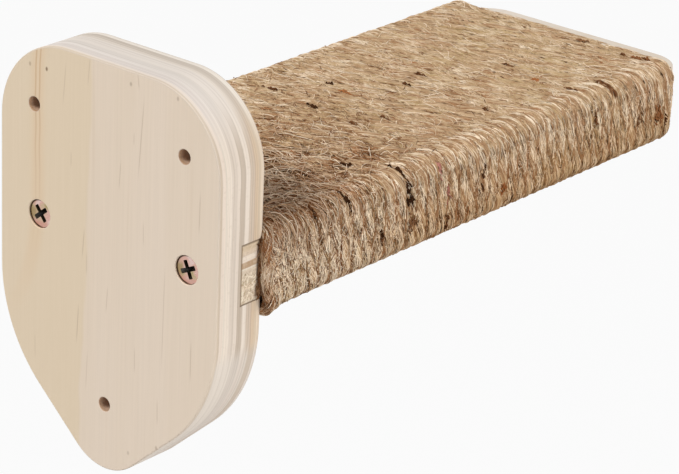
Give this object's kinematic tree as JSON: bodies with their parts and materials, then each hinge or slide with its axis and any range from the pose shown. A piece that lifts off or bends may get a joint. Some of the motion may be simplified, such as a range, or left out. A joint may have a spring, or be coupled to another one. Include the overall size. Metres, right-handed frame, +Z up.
{
  "type": "cat wall shelf",
  "caption": "Wall-mounted cat step: a shield-shaped plywood back plate carries a plywood tread board wound side by side with jute rope, for climbing and scratching.",
  "frame": {"origin": "on the plate's back face, on its centre line, at the tread board's mid-height", "axes": "+Z up, +Y out of the plate's back into the wall, +X to the right for someone facing the wall; the board stands out towards -Y"},
  "size_m": [0.1062, 0.262, 0.1425],
  "materials": {
    "plate_plywood": "bare sanded pine plywood with eased edges",
    "board_plywood": "bare sanded pine plywood",
    "jute": "natural twisted jute rope, hairy",
    "yellow_zinc": "yellow zinc plating",
    "staple_wire": "galvanised wire"
  },
  "bodies": {
    "root": {"back_plate": "plate_plywood", "tread_board": "board_plywood", "jute_rope": "jute", "assembly_screw_left": "yellow_zinc", "assembly_screw_right": "yellow_zinc", "rope_start_staple_1": "staple_wire", "rope_start_staple_2": "staple_wire", "rope_end_staple_1": "staple_wire", "rope_end_staple_2": "staple_wire"}
  },
  "joints": []
}
